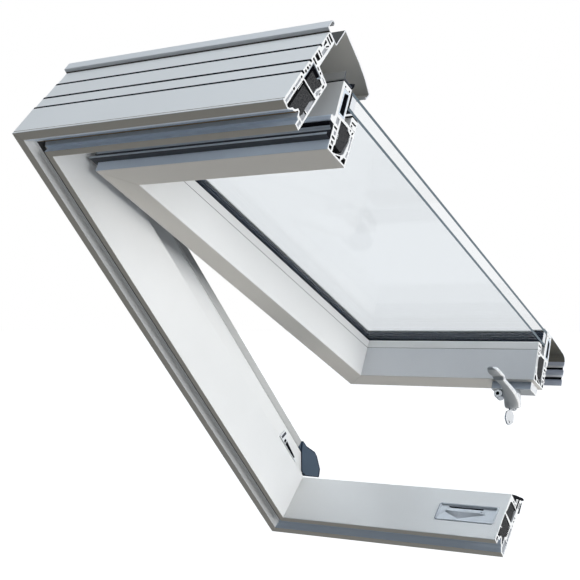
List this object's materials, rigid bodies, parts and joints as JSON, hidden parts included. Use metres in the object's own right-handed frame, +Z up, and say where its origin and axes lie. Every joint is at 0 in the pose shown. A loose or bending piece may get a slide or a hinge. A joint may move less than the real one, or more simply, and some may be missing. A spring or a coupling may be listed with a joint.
{
  "type": "sectioned roof hatch window",
  "caption": "Sectioned top hung roof hatch window: plastic frame with hood and an open glazed sash with handle and key, cut flush at one side to show its chambers.",
  "frame": {"origin": "half way down the left jamb, on its flat outer side, 25 mm from the room face", "axes": "+Z up with the roof at 45 degrees, +X along the head towards the section, +Y level and out of the room"},
  "size_m": [0.387, 0.7993, 0.654],
  "materials": {
    "white_pvc": "satin white window plastic",
    "grey_foam": "dark grey insulating foam",
    "galvanised_steel": "bright galvanised steel",
    "coated_aluminium": "satin grey coated aluminium",
    "black_rubber": "black seal rubber",
    "dark_spacer": "dark slate spacer",
    "slate_plastic": "slate blue moulded plastic",
    "clear_plastic": "pale translucent plastic",
    "window_glass": "clear float glass",
    "zinc_steel": "zinc plated steel",
    "satin_zinc": "satin silver grey casting",
    "nickel": "nickel plated key"
  },
  "bodies": {
    "frame": {"frame_head": "white_pvc", "frame_jamb": "white_pvc", "frame_sill": "white_pvc", "head_foam": "grey_foam", "jamb_foam": "grey_foam", "sill_foam": "grey_foam", "head_steel_lining": "galvanised_steel", "jamb_steel_lining": "galvanised_steel", "latch_tray": "clear_plastic", "lock_catch": "zinc_steel", "head_hood": "coated_aluminium", "hood_end_cap": "coated_aluminium", "head_flashing_strip": "coated_aluminium", "jamb_cover": "coated_aluminium", "corner_cap": "slate_plastic", "sill_gasket": "black_rubber", "sill_drip_strip": "coated_aluminium", "hinge_bracket": "zinc_steel", "hinge_pin": "zinc_steel"},
    "sash": {"sash_top_rail": "white_pvc", "sash_stile": "white_pvc", "sash_bottom_rail": "white_pvc", "bead_top": "white_pvc", "bead_side": "white_pvc", "bead_bottom": "white_pvc", "top_rail_foam": "grey_foam", "stile_foam": "grey_foam", "bottom_rail_foam": "grey_foam", "top_rail_steel": "galvanised_steel", "stile_steel": "galvanised_steel", "bottom_rail_steel": "galvanised_steel", "inner_pane": "window_glass", "outer_pane": "window_glass", "glass_spacer": "dark_spacer", "glazing_gasket": "black_rubber", "glass_edge_seal": "black_rubber", "top_weather_gasket": "black_rubber", "side_weather_gasket": "black_rubber", "bottom_weather_gasket": "black_rubber", "top_rail_strip": "coated_aluminium", "side_cover": "coated_aluminium", "bottom_cover": "coated_aluminium", "bottom_cover_end": "coated_aluminium", "hinge_arm": "zinc_steel", "handle_plate": "satin_zinc", "release_button": "satin_zinc"},
    "handle": {"handle_lever": "satin_zinc"},
    "key": {"lock_key": "nickel"}
  },
  "joints": [
    {"name": "sash_hinge", "type": "hinge", "parent": "frame", "child": "sash", "pos_m": [0.0582, -0.13081, 0.29911], "axis": [1, 0, 0], "range_deg": [-20.04, 14.96]},
    {"name": "handle_turn", "type": "hinge", "parent": "sash", "child": "handle", "pos_m": [0.351, 0.38248, -0.07802], "axis": [0, -0.422, -0.9066], "range_deg": [0, 103]},
    {"name": "key_turn", "type": "hinge", "parent": "handle", "child": "key", "pos_m": [0.351, 0.37573, -0.09253], "axis": [0, -0.422, -0.9066], "range_deg": [0, 90]}
  ]
}
